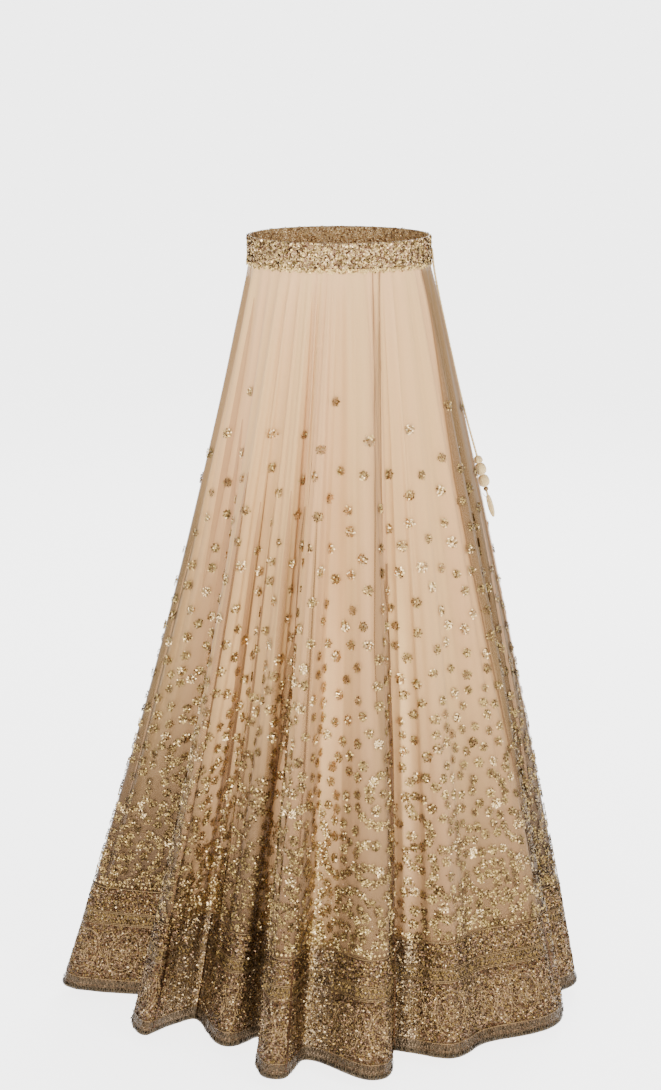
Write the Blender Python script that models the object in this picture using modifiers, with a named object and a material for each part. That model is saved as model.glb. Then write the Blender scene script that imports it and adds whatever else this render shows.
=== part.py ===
"""A flared lehenga skirt: a sequinned waistband, gathered net over a lining, a hem border, and a drawstring
with two tassels.

Metres, +Z up. The front faces -Y. The origin is the middle of the waistband, half way up it.
"""

import math
from collections import namedtuple

import bpy
import numpy as np

# Driving sizes, in metres.
SKIRT_LENGTH = 1.070
BAND_HEIGHT = 0.036
BAND_WALL = 0.0030
BAND_OPENING = 0.0070
BAND_INSET = 0.0007
BAND_COLUMNS = 96
WAIST_HALF_WIDTH = 0.1215
WAIST_HALF_DEPTH = 0.0935
NET_WALL = 0.0014
LINING_WALL = 0.0014
LINING_SHORT = 0.012
BORDER_WALL = 0.0014
BORDER_DROP = 0.855
REST_GAP = 0.0003
SEAM_GAP = 0.0004
HEM_SHIFT = -0.026
SIDE_HOLLOW = 0.035
SQUARE_SHARE = 0.60
CORD_RADIUS = 0.0014

# BORDER_DROP is where the border starts, as a share of the way down the net. HEM_SHIFT is how far the hem hangs
# to one side of the waist, and SIDE_HOLLOW how far the -X side hangs in at half height, as a share of its flare.

# The net is cut in equal panels. Each has this many columns of points, and each gather takes four. The first
# seam is where the folds are flat.
PANELS = 8
PANEL_COLUMNS = 20
FIRST_SEAM = 6
GATHER_COLUMNS = 4
BORDER_STRIPS = 4

# Where the waistband is open for the drawstring.
OPENING_DEG = 97.0

# The folds at the hem, in order round it. Each crest stands out and the valley after it sinks in. Angles are in
# degrees from the front towards +X, and distances are from the middle of the hem. rise and fall are how far the
# crest stays out before its side drops to the valley behind it and to the one ahead: 1 is even, more is a flat crest
# with a steep side. waist_deg is where the line of the valley starts at the waistband.
Fold = namedtuple("Fold", "rise crest_deg crest_out fall valley_deg valley_out waist_deg")
FOLDS = (
    Fold(0.80, 34.0, 0.319, 1.2, 46.0, 0.304, 46.0),
    Fold(1.15, 69.0, 0.352, 2.0, 81.0, 0.288, 73.0),
    Fold(1.30, 97.0, 0.364, 1.4, 110.0, 0.284, 107.0),
    Fold(1.15, 123.0, 0.352, 1.2, 135.0, 0.268, 135.0),
    Fold(1.15, 148.0, 0.338, 1.6, 160.0, 0.264, 159.0),
    Fold(1.15, 172.0, 0.352, 1.2, 184.0, 0.276, 184.0),
    Fold(1.15, 197.0, 0.343, 1.5, 209.0, 0.266, 209.0),
    Fold(1.15, 222.0, 0.337, 1.1, 234.0, 0.272, 236.0),
    Fold(1.15, 246.0, 0.350, 1.3, 254.0, 0.292, 264.0),
    Fold(1.15, 264.0, 0.365, 1.8, 276.0, 0.242, 306.0),
    Fold(1.00, 306.5, 0.300, 1.3, 304.0, 0.206, 332.0),
    Fold(0.75, 329.5, 0.255, 1.2, 337.0, 0.197, 345.5),
    Fold(1.15, 349.5, 0.343, 1.8, 355.5, 0.268, 359.0),
    Fold(0.75, 371.5, 0.350, 1.5, 381.9, 0.256, 385.7),
)
ROUND_TURN = 12.0

# How far the gathers stand out of the net, and how far the lining lies inside it, down the skirt. The drop is
# a share of the way from the waistband to the hem.
Level = namedtuple("Level", "drop gather lining_in")
LEVELS = (
    Level(0.000, 0.0005, 0.0023),
    Level(0.030, 0.0022, 0.0054),
    Level(0.080, 0.0028, 0.0062),
    Level(0.170, 0.0022, 0.0070),
    Level(0.320, 0.0012, 0.0090),
    Level(0.550, 0.0003, 0.0130),
    Level(BORDER_DROP, 0.0000, 0.0180),
    Level(1.000, 0.0000, 0.0200),
)
NET_DROPS = tuple(level.drop for level in LEVELS)
LINING_DROPS = (0.000, 0.030, 0.080, 0.320, 0.660, 1.000)

NET_TOP = -BAND_HEIGHT / 2 - REST_GAP
HEM = BAND_HEIGHT / 2 - SKIRT_LENGTH
COLUMNS = PANELS * PANEL_COLUMNS

# A tassel, from the end of its cord down: a cloth flower, two puffs, a bead and a narrow end. Each row is how
# far along it is and how far out it stands.
Ring = namedtuple("Ring", "along out")
TASSEL = (
    Ring(0.0010, 0.0036),
    Ring(0.0038, 0.0062),
    Ring(0.0078, 0.0062),
    Ring(0.0106, 0.0032),
    Ring(0.0126, 0.0046),
    Ring(0.0160, 0.0074),
    Ring(0.0204, 0.0080),
    Ring(0.0250, 0.0074),
    Ring(0.0286, 0.0044),
    Ring(0.0300, 0.0046),
    Ring(0.0334, 0.0075),
    Ring(0.0380, 0.0080),
    Ring(0.0426, 0.0072),
    Ring(0.0458, 0.0036),
    Ring(0.0474, 0.0029),
    Ring(0.0502, 0.0034),
    Ring(0.0530, 0.0014),
    Ring(0.0580, 0.0012),
    Ring(0.0600, 0.0028),
    Ring(0.0672, 0.0039),
    Ring(0.0780, 0.0042),
    Ring(0.0868, 0.0034),
    Ring(0.0910, 0.0014),
)

# The two ends of the drawstring. Each leaves the waistband's opening, to one side of its middle, and lies down
# the skirt on one column of the net.
CordEnd = namedtuple("CordEnd", "name column tassel_drop beside")
CORD_ENDS = (
    CordEnd("drawstring_front_end", 28, 0.264, -0.00165),
    CordEnd("drawstring_back_end", 32, 0.240, 0.00165),
)

# How far the cord's middle stands off the net on its way down.
Stand = namedtuple("Stand", "drop away")
CORD_STANDS = (
    Stand(0.012, 0.0045),
    Stand(0.045, 0.0038),
    Stand(0.080, 0.0038),
    Stand(0.125, 0.0038),
    Stand(0.170, 0.0042),
    Stand(0.215, 0.0060),
)
TASSEL_AWAY = 0.0097


def level_value(drop, name):
    """One column of the levels at any drop."""
    return float(np.interp(drop, [level.drop for level in LEVELS], [getattr(level, name) for level in LEVELS]))


def side_of_fold(high, low, share, steep):
    """The distance out, part of the way down the side of a fold. It is level at the crest and at the valley."""
    return high + (low - high) * (0.5 - 0.5 * np.cos(np.pi * share**steep))


def turn_of_fold(start, end, share):
    """The angle, part of the way along the side of a fold. A steep side still rounds its crest and its valley."""
    pace = max(end - start, ROUND_TURN)
    return start + (end - start) * share**2 * (3 - 2 * share) + pace * share * (1 - share) * (1 - 2 * share)


def fold_sides():
    """Fine angles, distances and lengths run along each side of each fold, in order round the hem."""
    share = np.linspace(0, 1, 81)
    angle = FOLDS[-1].valley_deg - 360
    low = FOLDS[-1].valley_out
    sides = []
    for fold in FOLDS:
        rise = side_of_fold(fold.crest_out, low, share, fold.rise)[::-1]
        sides.append((turn_of_fold(angle, fold.crest_deg, share), rise))
        drop = side_of_fold(fold.crest_out, fold.valley_out, share, fold.fall)
        sides.append((turn_of_fold(fold.crest_deg, fold.valley_deg, share), drop))
        angle = fold.valley_deg
        low = fold.valley_out
    found = []
    for degrees, out in sides:
        turn = np.radians(degrees)
        step = np.hypot(np.diff(out * np.sin(turn)), np.diff(out * np.cos(turn)))
        found.append((turn, out, np.concatenate([[0], np.cumsum(step)])))
    return found


def hem_columns():
    """For each column, its angle and distance out at the hem, and its angle at the waistband."""
    sides = fold_sides()
    lengths = np.array([run[-1] for _, _, run in sides])
    wanted = lengths / lengths.sum() * COLUMNS
    counts = np.maximum(2, np.floor(wanted).astype(int))
    while counts.sum() < COLUMNS:
        counts[np.argmax(wanted - counts)] += 1
    while counts.sum() > COLUMNS:
        counts[np.argmin(np.where(counts > 2, wanted - counts, np.inf))] -= 1
    angles, outs, places = [], [], []
    ends = [0.0]
    for (angle, out, run), count in zip(sides, counts):
        at = np.arange(count) / count * run[-1]
        angles.append(np.interp(at, run, angle))
        outs.append(np.interp(at, run, out))
        places.append(ends[-1] + at)
        ends.append(ends[-1] + run[-1])
    valleys = np.radians([FOLDS[-1].waist_deg - 360] + [fold.waist_deg for fold in FOLDS])
    at_waist = np.interp(np.concatenate(places), ends[::2], valleys)
    return np.concatenate(angles), np.concatenate(outs), at_waist


def oval(angles, inset=0.0):
    """Points at those angles of the waist's oval, made smaller all round by the inset."""
    x = (WAIST_HALF_WIDTH - inset) * np.sin(angles)
    y = -(WAIST_HALF_DEPTH - inset) * np.cos(angles)
    return np.stack([x, y], axis=1)


def gather_shape():
    """How far in or out the gathers put each column, as a share of their depth: uneven, four columns each."""
    column = np.arange(COLUMNS)
    wave = np.sin(2 * np.pi * (column - FIRST_SEAM) / GATHER_COLUMNS)
    uneven = 0.75 + 0.25 * np.sin(1.7 * (column // GATHER_COLUMNS) + 0.6)
    return wave * uneven


def cloth_row(drop, lining=False):
    """The middle of the net's wall, or of the lining's, right round the skirt at that drop: (COLUMNS, 3)."""
    hem_angle, hem_out, waist_angle = hem_columns()
    hem = np.stack([hem_out * np.sin(hem_angle), -hem_out * np.cos(hem_angle)], axis=1)
    hollow = SIDE_HOLLOW * 4 * drop * (1 - drop) * np.clip(-np.sin(waist_angle), 0, 1)
    flare = (drop - hollow)[:, None]
    row = oval(waist_angle) * (1 - flare) + hem * flare
    out = row / np.linalg.norm(row, axis=1, keepdims=True)
    if lining:
        along = np.roll(row, -1, axis=0) - np.roll(row, 1, axis=0)
        square = np.stack([along[:, 1], -along[:, 0]], axis=1) / np.linalg.norm(along, axis=1, keepdims=True)
        inward = out * (1 - SQUARE_SHARE) + square * SQUARE_SHARE
        row = row - inward * level_value(drop, "lining_in")
    else:
        room = np.linalg.norm(np.roll(row, -1, axis=0) - np.roll(row, 1, axis=0), axis=1) / 2
        depth = level_value(drop, "gather") * np.clip(room / 0.0047, 0.3, 1.2)
        row = row + out * (gather_shape() * depth)[:, None]
    shift = np.full((COLUMNS, 1), HEM_SHIFT * drop**2)
    height = np.full((COLUMNS, 1), NET_TOP + (HEM - NET_TOP) * drop)
    return np.concatenate([row[:, :1] + shift, row[:, 1:], height], axis=1)


def cloth_grid(drops, lining=False):
    """Rows of points from the waistband down, (rows, COLUMNS, 3)."""
    return np.array([cloth_row(drop, lining) for drop in drops])


def outward(grid):
    """The direction out of the cloth at each point of a grid that closes on itself."""
    across = np.roll(grid, -1, axis=1) - np.roll(grid, 1, axis=1)
    down = np.gradient(grid, axis=0)
    normal = np.cross(down, across)
    return normal / np.linalg.norm(normal, axis=2, keepdims=True)


def moved_out(grid, distance):
    """The grid moved out of the cloth, and further at a sharp corner, so that its sides stay as far from the cloth."""
    normal = outward(grid)
    side = np.cross(np.gradient(grid, axis=0), np.roll(grid, -1, axis=1) - grid)
    side /= np.linalg.norm(side, axis=2, keepdims=True)
    ahead = (normal * side).sum(axis=2, keepdims=True)
    behind = (normal * np.roll(side, 1, axis=1)).sum(axis=2, keepdims=True)
    return grid + normal * distance / np.clip(np.minimum(ahead, behind), 0.6, 1)


# ---- Objects


def material(name, colour, rough, sheen=0.0, metal=0.0):
    """A plain Principled material."""
    made = bpy.data.materials.new(name)
    made.use_nodes = True
    shader = made.node_tree.nodes["Principled BSDF"]
    shader.inputs["Base Color"].default_value = (*colour, 1)
    shader.inputs["Roughness"].default_value = rough
    shader.inputs["Sheen Weight"].default_value = sheen
    shader.inputs["Metallic"].default_value = metal
    made.diffuse_color = (*colour, 1)
    return made


def sheet(name, grid, wall, collection, made_of):
    """An open surface over a grid of points, all its quads cut on the same diagonal, with a solid wall."""
    rows, columns = grid.shape[:2]
    faces = []
    for row in range(rows - 1):
        for column in range(columns - 1):
            here = row * columns + column
            below = here + columns
            faces.append((here, below, below + 1))
            faces.append((here, below + 1, here + 1))
    mesh = bpy.data.meshes.new(name)
    mesh.from_pydata(grid.reshape(-1, 3).tolist(), [], faces)
    mesh.materials.append(made_of)
    mesh.shade_smooth()
    piece = bpy.data.objects.new(name, mesh)
    collection.objects.link(piece)
    solidify = piece.modifiers.new("wall", "SOLIDIFY")
    solidify.thickness = wall
    solidify.offset = 0
    return piece


def cut_panel(grid, first, count):
    """The columns of one panel, with half a seam gap taken off each side."""
    wanted = (first + np.arange(count + 1)) % grid.shape[1]
    panel = grid[:, wanted].copy()
    start = panel[:, 1] - panel[:, 0]
    end = panel[:, -2] - panel[:, -1]
    panel[:, 0] += start / np.linalg.norm(start, axis=1, keepdims=True) * SEAM_GAP / 2
    panel[:, -1] += end / np.linalg.norm(end, axis=1, keepdims=True) * SEAM_GAP / 2
    return panel


def cut_panels(name, grid, pieces, wall, collection, made_of):
    """Cuts a grid that goes right round into equal pieces, each its own object."""
    count = COLUMNS // pieces
    for piece in range(pieces):
        panel = cut_panel(grid, FIRST_SEAM + piece * count, count)
        sheet(f"{name}_{piece + 1}", panel, wall, collection, made_of)


def waistband(collection, made_of):
    """One strip round the waist, open at the drawstring."""
    half_gap = BAND_OPENING / 2 / WAIST_HALF_DEPTH
    opening = math.radians(OPENING_DEG)
    turn = np.linspace(opening + half_gap, opening + 2 * math.pi - half_gap, BAND_COLUMNS + 1)
    ring = oval(turn, BAND_INSET)
    heights = (BAND_HEIGHT / 2, -BAND_HEIGHT / 2)
    grid = np.array([np.column_stack([ring, np.full(len(ring), height)]) for height in heights])
    sheet("waistband", grid, BAND_WALL, collection, made_of)


def cord_path(end):
    """Points down the middle of one end of the drawstring and of its tassel, and how far out each ring is."""
    opening = math.radians(OPENING_DEG)
    out = np.array([math.sin(opening), -math.cos(opening), 0])
    along_band = np.array([math.cos(opening), math.sin(opening), 0])
    gate = np.array([*oval(np.array([opening]), BAND_INSET)[0], 0.0]) + along_band * end.beside
    path = [gate - out * 0.0030, gate + out * 0.0015]
    path.append(gate + out * 0.0040 + np.array([0, 0, -0.0015]))
    path.append(gate + out * 0.0055 + np.array([0, 0, -0.0070]))
    grid = cloth_grid([stand.drop for stand in CORD_STANDS] + [end.tassel_drop])
    normal = outward(grid)
    away = [stand.away for stand in CORD_STANDS] + [TASSEL_AWAY]
    for row, distance in enumerate(away):
        path.append(grid[row, end.column] + normal[row, end.column] * distance)
    radii = [CORD_RADIUS] * len(path)
    down = path[-1] - path[-2]
    down = down / np.linalg.norm(down)
    start = path[-1]
    for ring in TASSEL:
        path.append(start + down * ring.along)
        radii.append(ring.out)
    return path, radii


def cord_end(end, collection, made_of):
    """One end of the drawstring with its tassel: a tube whose radius follows the beads."""
    path, radii = cord_path(end)
    curve = bpy.data.curves.new(end.name, "CURVE")
    curve.dimensions = "3D"
    curve.bevel_depth = 1.0
    curve.bevel_resolution = 3
    curve.use_fill_caps = True
    spline = curve.splines.new("POLY")
    spline.points.add(len(path) - 1)
    for point, place, radius in zip(spline.points, path, radii):
        point.co = (*place, 1)
        point.radius = radius
    curve.materials.append(made_of)
    cord = bpy.data.objects.new(end.name, curve)
    collection.objects.link(cord)
    return cord


def clear_scene():
    for thing in list(bpy.data.objects):
        bpy.data.objects.remove(thing, do_unlink=True)


def main():
    clear_scene()
    collection = bpy.data.collections.new("lehenga_skirt")
    bpy.context.scene.collection.children.link(collection)
    net = material("net", (0.62, 0.44, 0.30), 0.75, 0.4)
    lining = material("lining", (0.72, 0.54, 0.39), 0.5, 0.2)
    border = material("border", (0.36, 0.22, 0.09), 0.45, 0.0, 0.5)
    band = material("waistband", (0.42, 0.28, 0.11), 0.4, 0.0, 0.6)
    cord = material("cord", (0.78, 0.66, 0.46), 0.8, 0.3)
    net_grid = cloth_grid(NET_DROPS)
    cut_panels("net_panel", net_grid, PANELS, NET_WALL, collection, net)
    full = 1 - LINING_SHORT / (NET_TOP - HEM)
    lining_grid = cloth_grid([drop * full for drop in LINING_DROPS], lining=True)
    cut_panels("lining_panel", lining_grid, PANELS, LINING_WALL, collection, lining)
    away = NET_WALL / 2 + REST_GAP + BORDER_WALL / 2
    border_grid = moved_out(net_grid, away)[-2:]
    cut_panels("border_strip", border_grid, BORDER_STRIPS, BORDER_WALL, collection, border)
    waistband(collection, band)
    for end in CORD_ENDS:
        cord_end(end, collection, cord)


main()
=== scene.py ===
import math
from collections import namedtuple

import bpy
import numpy as np
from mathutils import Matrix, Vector


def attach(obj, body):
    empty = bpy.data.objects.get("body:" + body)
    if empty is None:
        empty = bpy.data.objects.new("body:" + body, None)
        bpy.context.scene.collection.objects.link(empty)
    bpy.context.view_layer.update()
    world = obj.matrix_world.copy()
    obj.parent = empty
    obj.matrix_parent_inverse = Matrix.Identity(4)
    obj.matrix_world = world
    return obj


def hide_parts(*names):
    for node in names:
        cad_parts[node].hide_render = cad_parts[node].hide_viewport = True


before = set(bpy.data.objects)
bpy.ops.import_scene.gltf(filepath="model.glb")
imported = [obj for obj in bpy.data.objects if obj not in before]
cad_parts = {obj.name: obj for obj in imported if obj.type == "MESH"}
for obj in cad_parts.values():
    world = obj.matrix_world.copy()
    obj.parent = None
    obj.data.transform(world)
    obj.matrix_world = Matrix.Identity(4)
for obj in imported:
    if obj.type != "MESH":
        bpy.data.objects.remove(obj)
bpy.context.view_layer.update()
rng = np.random.default_rng(7)

# ---- The skirt's shape, from the same sizes and folds as its solids --------------------
# Lengths are in metres. A place on the cloth is a column, from 0 to 160 round the skirt from near the front's
# middle by the wearer's left, and a drop, from 0 under the waistband to 1 at the hem.
SKIRT_LENGTH = 1.070
BAND_HEIGHT = 0.036
BAND_OPENING = 0.0070
BAND_INSET = 0.0007
WAIST_HALF_WIDTH = 0.1215
WAIST_HALF_DEPTH = 0.0935
LINING_SHORT = 0.012
BORDER_DROP = 0.855
REST_GAP = 0.0003
HEM_SHIFT = -0.026
SIDE_HOLLOW = 0.035
SQUARE_SHARE = 0.60
CORD_RADIUS = 0.0014
PANELS = 8
FIRST_SEAM = 6
COLUMNS = 160
WAIST_RADIUS = 0.108
# How wide a column is at the waist.
USUAL_ROOM = 0.0047
# The drawstring's opening in the waistband.
OPENING_DEG = 97.0
NET_TOP = -BAND_HEIGHT / 2 - REST_GAP
HEM = BAND_HEIGHT / 2 - SKIRT_LENGTH


def draw(low, high):
    return float(rng.uniform(low, high))


def rows(name, columns, *values):
    """A short table with named columns."""
    row = namedtuple(name, columns)
    return [row(*value) for value in values]


def read(table, column, at):
    """A column's value at a place between two rows of a table, given in its first column."""
    return np.interp(at, [row[0] for row in table], [getattr(row, column) for row in table])


# Each fold at the hem: the angle and distance of its crest and of the valley after it, how steeply it rises
# and falls, and the angle at the waist that the valley comes from, from the front by the wearer's left.
FOLDS = rows(
    "Fold", "rise crest_deg crest_out fall valley_deg valley_out waist_deg",
    (0.80, 34.0, 0.319, 1.2, 46.0, 0.304, 46.0),
    (1.15, 69.0, 0.352, 2.0, 81.0, 0.288, 73.0),
    (1.30, 97.0, 0.364, 1.4, 110.0, 0.284, 107.0),
    (1.15, 123.0, 0.352, 1.2, 135.0, 0.268, 135.0),
    (1.15, 148.0, 0.338, 1.6, 160.0, 0.264, 159.0),
    (1.15, 172.0, 0.352, 1.2, 184.0, 0.276, 184.0),
    (1.15, 197.0, 0.343, 1.5, 209.0, 0.266, 209.0),
    (1.15, 222.0, 0.337, 1.1, 234.0, 0.272, 236.0),
    (1.15, 246.0, 0.350, 1.3, 254.0, 0.292, 264.0),
    (1.15, 264.0, 0.365, 1.8, 276.0, 0.242, 306.0),
    (1.00, 306.5, 0.300, 1.3, 304.0, 0.206, 332.0),
    (0.75, 329.5, 0.255, 1.2, 337.0, 0.197, 345.5),
    (1.15, 349.5, 0.343, 1.8, 355.5, 0.268, 359.0),
    (0.75, 371.5, 0.350, 1.5, 381.9, 0.256, 385.7),
)
ROUND_TURN = 12.0

# How deep the gathers are, and how far in the lining lies, down the skirt.
LEVELS = rows(
    "Level", "drop gather lining_in",
    (0.000, 0.0005, 0.0023),
    (0.030, 0.0022, 0.0054),
    (0.080, 0.0028, 0.0062),
    (0.170, 0.0022, 0.0070),
    (0.320, 0.0012, 0.0090),
    (0.550, 0.0003, 0.0130),
    (0.855, 0.0000, 0.0180),
    (1.000, 0.0000, 0.0200),
)

# Soft creases in the net that its solid is too plain for. col is the column a crease runs down, lean how many
# columns it drifts on the way, wide its half width in columns, and out how far it stands out or sinks in.
CREASE = "col lean wide out start end"
FRONT_CREASES = rows(
    "Crease", CREASE,
    (3.0, 1.0, 1.10, -0.0010, 0.02, 0.80),
    (6.4, 0.5, 1.20, 0.0011, 0.05, 0.80),
    (9.6, -0.8, 1.00, -0.0010, 0.10, 0.80),
    (17.4, 0.6, 0.45, -0.0024, 0.10, 0.98),
    (21.8, 0.6, 0.60, -0.0026, 0.06, 0.98),
    (112.5, 0.6, 0.60, -0.0030, 0.25, 0.95),
    (117.5, 0.4, 0.45, 0.0030, 0.20, 0.92),
    (119.4, 0.3, 0.40, -0.0034, 0.22, 0.96),
    (121.0, 0.6, 0.50, 0.0030, 0.28, 0.90),
    (122.8, 1.6, 0.40, -0.0034, 0.25, 1.00),
    (126.4, 0.5, 0.45, 0.0034, 0.22, 0.95),
    (128.6, -0.4, 0.40, -0.0030, 0.28, 0.90),
    (130.6, 0.5, 0.45, 0.0030, 0.30, 0.96),
    (132.9, -2.6, 0.36, -0.0036, 0.20, 0.92),
    (136.4, 0.4, 0.45, 0.0030, 0.20, 0.90),
    (138.8, 0.5, 0.40, -0.0030, 0.15, 0.90),
    (143.3, 0.6, 0.60, -0.0026, 0.12, 0.96),
    (146.4, 0.5, 0.80, 0.0018, 0.08, 0.90),
    (150.4, 0.6, 1.10, -0.0016, 0.04, 0.80),
    (159.3, 0.0, 0.34, 0.0026, 0.58, 1.05),
)

# The columns of the front's pressed folds: the one down its right, and both edges of the tuck in its middle.
FOLD_LINES = rows(
    "FoldLine", "drop right tuck_left tuck_right",
    (0.00, 15.1, 157.9, 160.0),
    (0.08, 14.4, 157.5, 159.0),
    (0.17, 13.7, 156.4, 158.5),
    (0.27, 13.0, 155.3, 158.0),
    (0.37, 13.2, 154.9, 157.9),
    (0.47, 13.6, 154.6, 159.6),
    (0.55, 13.9, 154.8, 160.1),
    (0.61, 14.1, 155.0, 160.2),
    (0.67, 14.4, 155.2, 160.2),
    (0.74, 14.7, 155.4, 160.2),
    (0.92, 15.0, 155.6, 160.2),
    (1.00, 16.2, 155.6, 160.2),
)


def right_fold(drop):
    return read(FOLD_LINES, "right", drop)


def tuck(drop):
    """The columns of the tuck's left and right edges."""
    return read(FOLD_LINES, "tuck_left", drop), read(FOLD_LINES, "tuck_right", drop)


def from_line(col, line):
    """How many columns a place lies past a line, the short way round."""
    return np.mod(col - line + COLUMNS / 2, COLUMNS) - COLUMNS / 2


def side_creases():
    """The same kind of creases on the sides and the back, spaced unevenly."""
    made = []
    col = 20.0
    while col < 111:
        out = draw(0.0020, 0.0034) * (1 if len(made) % 2 else -1)
        start = draw(0.02, 0.30)
        end = draw(0.75, 0.97)
        made.append((col, draw(-0.6, 0.8), draw(0.4, 0.8), out, start, end))
        col += draw(1.9, 3.6)
    return rows("Crease", CREASE, *made)


CREASES = FRONT_CREASES + side_creases()


def side_of_fold(high, low, share, steep):
    """How far out the hem is along one side of a fold."""
    return high + (low - high) * (0.5 - 0.5 * np.cos(np.pi * share**steep))


def turn_of_fold(start, end, share):
    """The hem's angle along one side of a fold, which turns back a little at a sharp crest."""
    pace = max(end - start, ROUND_TURN)
    return start + (end - start) * share**2 * (3 - 2 * share) + pace * share * (1 - share) * (1 - 2 * share)


def fold_sides():
    """Each side of each fold: its angles, how far out it is, and how far along it each point lies."""
    share = np.linspace(0, 1, 161)
    angle = FOLDS[-1].valley_deg - 360
    low = FOLDS[-1].valley_out
    sides = []
    for fold in FOLDS:
        rise = side_of_fold(fold.crest_out, low, share, fold.rise)[::-1]
        sides.append((turn_of_fold(angle, fold.crest_deg, share), rise))
        fall = side_of_fold(fold.crest_out, fold.valley_out, share, fold.fall)
        sides.append((turn_of_fold(fold.crest_deg, fold.valley_deg, share), fall))
        angle, low = fold.valley_deg, fold.valley_out
    found = []
    for degrees, out in sides:
        turn = np.radians(degrees)
        step = np.hypot(np.diff(out * np.sin(turn)), np.diff(out * np.cos(turn)))
        found.append((turn, out, np.concatenate([[0], np.cumsum(step)])))
    return found


def column_tables():
    """Fine tables of the hem's points and the waist's angle, against the column."""
    sides = fold_sides()
    lengths = np.array([run[-1] for _, _, run in sides])
    wanted = lengths / lengths.sum() * COLUMNS
    counts = np.maximum(2, np.floor(wanted).astype(int))
    while counts.sum() < COLUMNS:
        counts[np.argmax(wanted - counts)] += 1
    while counts.sum() > COLUMNS:
        counts[np.argmin(np.where(counts > 2, wanted - counts, np.inf))] -= 1
    fine = 16
    cols, xs, ys, places = [], [], [], []
    ends = [0.0]
    start = 0
    for (angle, out, run), count in zip(sides, counts):
        share = np.arange(count * fine) / (count * fine)
        at = share * run[-1]
        turn = np.interp(at, run, angle)
        far = np.interp(at, run, out)
        cols.append(start + share * count)
        xs.append(far * np.sin(turn))
        ys.append(-far * np.cos(turn))
        places.append(ends[-1] + at)
        ends.append(ends[-1] + run[-1])
        start += count
    valleys = np.radians([FOLDS[-1].waist_deg - 360] + [fold.waist_deg for fold in FOLDS])
    places = np.concatenate(places)
    waist = np.interp(places, ends[::2], valleys)
    return np.concatenate(cols), np.concatenate(xs), np.concatenate(ys), waist, ends[-1]


COL, HEM_X, HEM_Y, WAIST_TURN, HEM_RUN = column_tables()


def rounded(values, wide):
    """A table round the skirt, smoothed so that no fold is sharper than cloth can bend."""
    reach = int(3 * wide)
    kernel = np.exp(-0.5 * (np.arange(-reach, reach + 1) / wide) ** 2)
    kernel /= kernel.sum()
    padded = np.concatenate([values[-reach:], values, values[:reach]])
    return np.convolve(padded, kernel, mode="valid")


HEM_X = rounded(HEM_X, 5.0)
HEM_Y = rounded(HEM_Y, 5.0)


def look_up(table, col, more=0.0):
    """A table's value at a column. more is how much it has grown after one round."""
    return np.interp(np.mod(col, COLUMNS), np.append(COL, COLUMNS), np.append(table, table[0] + more))


def waist_turn(col):
    return look_up(WAIST_TURN, col, math.tau)


def unit(vectors):
    return vectors / np.linalg.norm(vectors, axis=-1, keepdims=True)


def plan(col, drop):
    """A place on the cloth seen from above, before its gathers."""
    turn = waist_turn(col)
    waist = np.stack([WAIST_HALF_WIDTH * np.sin(turn), -WAIST_HALF_DEPTH * np.cos(turn)], axis=-1)
    hem = np.stack([look_up(HEM_X, col), look_up(HEM_Y, col)], axis=-1)
    hollow = SIDE_HOLLOW * 4 * drop * (1 - drop) * np.clip(-np.sin(turn), 0, 1)
    flare = (drop - hollow)[..., None]
    return waist * (1 - flare) + hem * flare


def base(col, drop, lining=False):
    """A point of the cloth's plain form, for arrays of columns and drops of the same shape."""
    row = plan(col, drop)
    out = unit(row)
    if lining:
        along = plan(col + 0.7, drop) - plan(col - 0.7, drop)
        square = unit(np.stack([along[..., 1], -along[..., 0]], axis=-1))
        inward = out * (1 - SQUARE_SHARE) + square * SQUARE_SHARE
        row = row - inward * read(LEVELS, "lining_in", drop)[..., None]
    else:
        wave = np.sin(2 * np.pi * (col - FIRST_SEAM) / 4)
        uneven = 0.75 + 0.25 * np.sin(1.7 * col / 4 + 0.6)
        room = (waist_turn(col + 1) - waist_turn(col - 1)) / 2 * WAIST_RADIUS * (1 - drop) + 0.018 * drop
        room = np.where(room < 0, USUAL_ROOM, room)
        depth = read(LEVELS, "gather", drop) * np.clip(room / USUAL_ROOM, 0.3, 1.2)
        row = row + out * (wave * uneven * depth)[..., None]
    x = row[..., 0] + HEM_SHIFT * drop**2
    return np.stack([x, row[..., 1], NET_TOP + (HEM - NET_TOP) * drop], axis=-1)


def hollow_table():
    """How far each place of the hem lies in from the crests beside it, in metres."""
    turn = np.arctan2(HEM_X, -HEM_Y)
    out = np.hypot(HEM_X, HEM_Y)
    apart = np.mod(turn[:, None] - turn[None, :] + np.pi, 2 * np.pi) - np.pi
    before = np.where((apart >= 0) & (apart < 0.18), out[None, :], 0).max(axis=1)
    after = np.where((apart <= 0) & (apart > -0.18), out[None, :], 0).max(axis=1)
    return np.minimum(before, after) - out


HOLLOW = hollow_table()


def eased(value, low, high):
    """Rises smoothly from 0 at low to 1 at high."""
    share = np.clip((value - low) / (high - low), 0, 1)
    return share * share * (3 - 2 * share)


def angles_round(count):
    return math.tau * np.arange(count) / count


def within(value, low, full, fading, gone):
    """Rises from 0 at low to 1 at full, and falls from fading back to 0 at gone."""
    return eased(value, low, full) * (1 - eased(value, fading, gone))


def bell(col, line, wide):
    """1 on a line down the cloth and less beside it, down to nothing a few times wide away."""
    return np.exp(-0.5 * (from_line(col, line) / wide) ** 2)


# Fine waves round the skirt: how many, where they start, how far they drift down the skirt, and how high.
RIPPLES = list(zip((37, 53, 61, 74, 83, 97, 118, 149), rng.uniform(0, 6.28, 8), rng.uniform(-0.9, 0.9, 8),
                   (0.0011, 0.0010, 0.0010, 0.0008, 0.0008, 0.0006, 0.0005, 0.0004)))


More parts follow.
